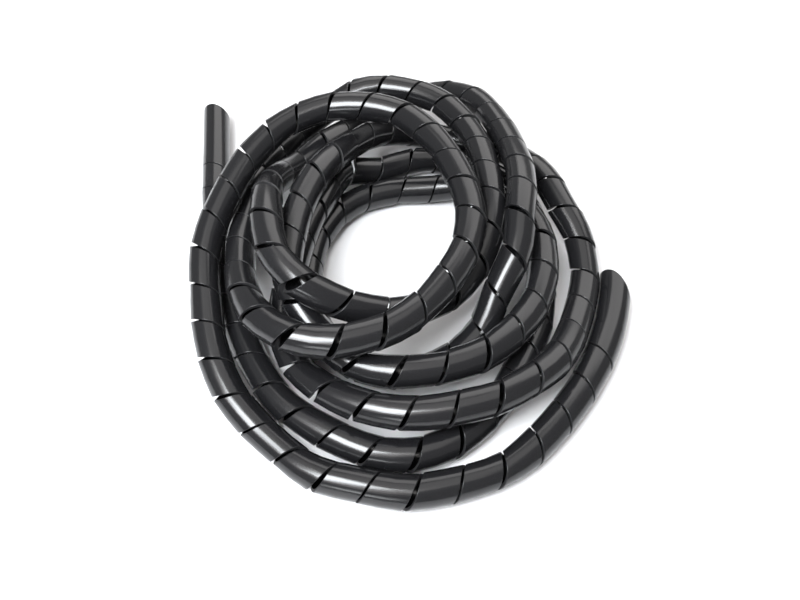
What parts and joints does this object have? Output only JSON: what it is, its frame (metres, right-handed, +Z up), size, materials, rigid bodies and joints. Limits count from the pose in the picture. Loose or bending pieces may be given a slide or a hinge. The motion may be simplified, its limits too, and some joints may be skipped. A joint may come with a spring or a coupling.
{
  "type": "spiral cable wrap",
  "caption": "Loose hank of glossy black spiral cable wrap: a polyethylene tube slit along a left-handed helix, with two bare ends.",
  "frame": {"origin": "centre of the hank's outline, on the surface it lies on", "axes": "+Z up off the surface, +Y away from the viewer of the picture and along the hank's longest side, +X to the right"},
  "size_m": [0.1532, 0.1712, 0.0397],
  "materials": {
    "black_polyethylene": "gloss"
  },
  "bodies": {
    "root": {"spiral_wrap": "black_polyethylene"}
  },
  "joints": []
}
